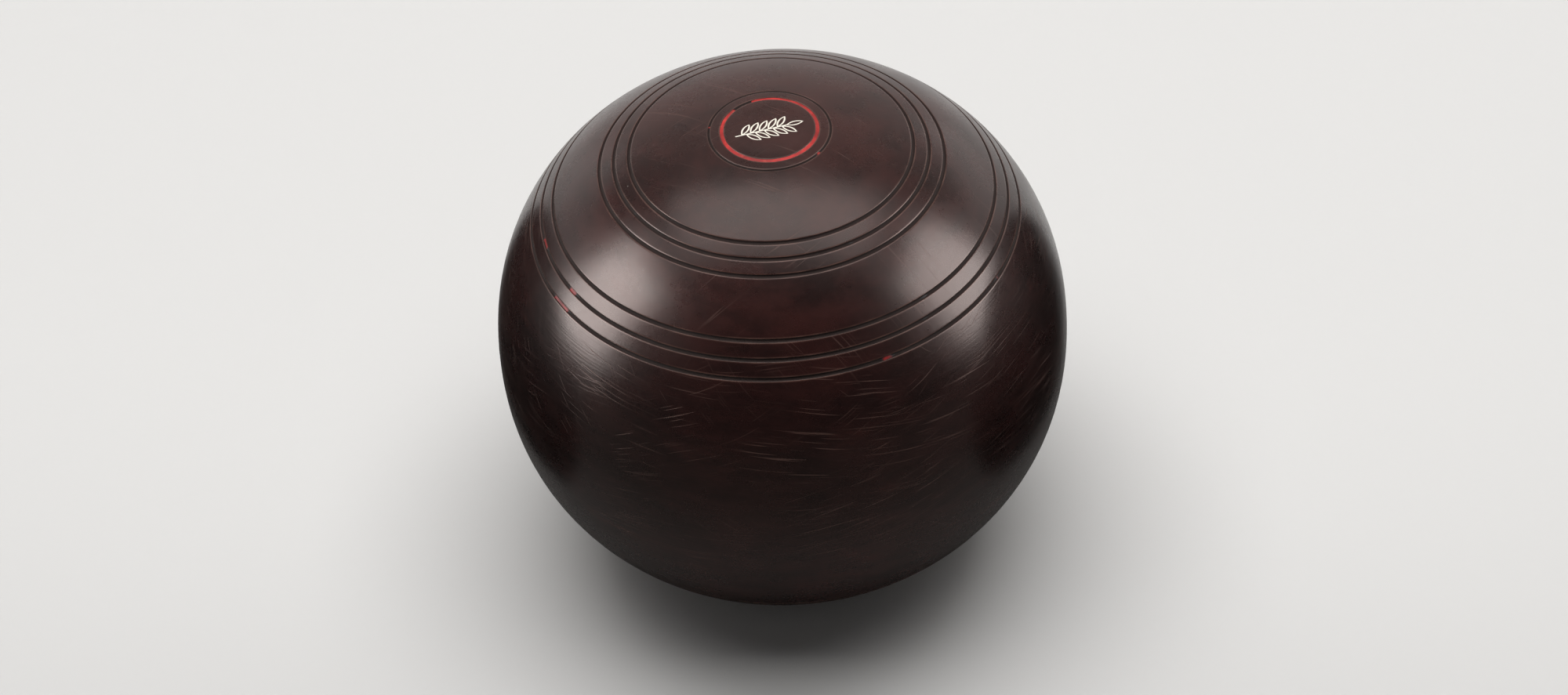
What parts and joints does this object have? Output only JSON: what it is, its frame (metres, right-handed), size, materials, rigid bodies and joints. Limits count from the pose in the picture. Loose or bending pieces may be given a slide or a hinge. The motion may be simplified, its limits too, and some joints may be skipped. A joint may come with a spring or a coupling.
{
  "type": "lawn bowl",
  "caption": "Biased lawn bowl: a solid composition ball flattened across one axis, with turned groove bands and enamelled rings and sprig emblems on its two sides.",
  "frame": {"origin": "middle of the flat crown that the bowl rests on, on the plain side", "axes": "+Z along the turning axis towards the bias side with the small ring; +X and +Y lie in the plane of the crown, and +X is close to the way the bias-side sprig points"},
  "size_m": [0.127, 0.127, 0.115],
  "materials": {
    "composition": "polished phenolic composition, worn on the running surface",
    "red_enamel": "worn enamel in the grooves",
    "cream_enamel": "worn enamel in the engraving"
  },
  "bodies": {
    "root": {"bowl_body": "composition", "bias_emblem_paint": "cream_enamel", "plain_emblem_paint": "cream_enamel", "bias_ring_paint": "red_enamel", "bias_outer_ring_paint": "red_enamel", "bias_inner_band_paint": "red_enamel", "bias_outer_band_paint": "red_enamel", "plain_outer_band_paint": "red_enamel", "plain_inner_ring_paint": "red_enamel", "plain_middle_ring_paint": "red_enamel", "plain_outer_ring_paint": "red_enamel"}
  },
  "joints": []
}
